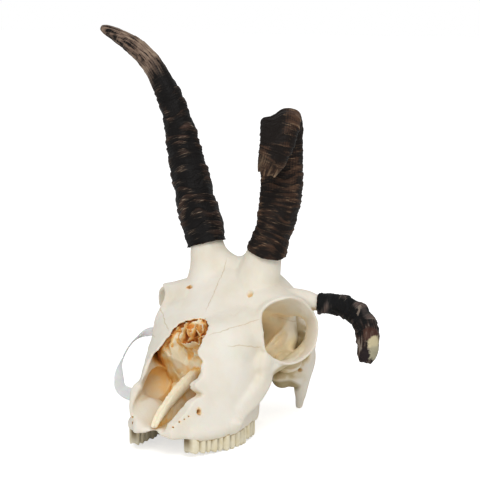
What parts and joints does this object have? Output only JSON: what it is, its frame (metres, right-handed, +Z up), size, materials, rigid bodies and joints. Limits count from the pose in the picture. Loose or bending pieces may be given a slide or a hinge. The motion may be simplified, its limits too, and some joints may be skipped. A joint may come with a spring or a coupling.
{
  "type": "ram skull",
  "caption": "Still, life-size ram skull without lower jaw or nasal bones, with ringed upper horns, a hooked side horn and a plastic band round one eye socket rim.",
  "frame": {"origin": "middle of the whole specimen seen from above, on the floor it rests on", "axes": "+Z up, -Y the way the face points, +X the animal's left"},
  "size_m": [0.2356, 0.1708, 0.2756],
  "materials": {
    "braincase": "dry cream bone",
    "frontal": "dry cream bone",
    "maxilla_left": "dry cream bone with ivory teeth",
    "maxilla_right": "dry cream bone with ivory teeth",
    "turbinates": "ochre inner bone",
    "horn_upper_left": "ringed brown horn",
    "horn_upper_right": "ringed near-black horn",
    "horn_side_left": "scratched near-black horn",
    "tag_band": "milky translucent plastic"
  },
  "bodies": {
    "root": {"braincase": "braincase", "frontal": "frontal", "horn_side_left": "horn_side_left", "horn_upper_left": "horn_upper_left", "horn_upper_right": "horn_upper_right", "maxilla_left": "maxilla_left", "maxilla_right": "maxilla_right", "tag_band": "tag_band", "turbinates": "turbinates"}
  },
  "joints": []
}
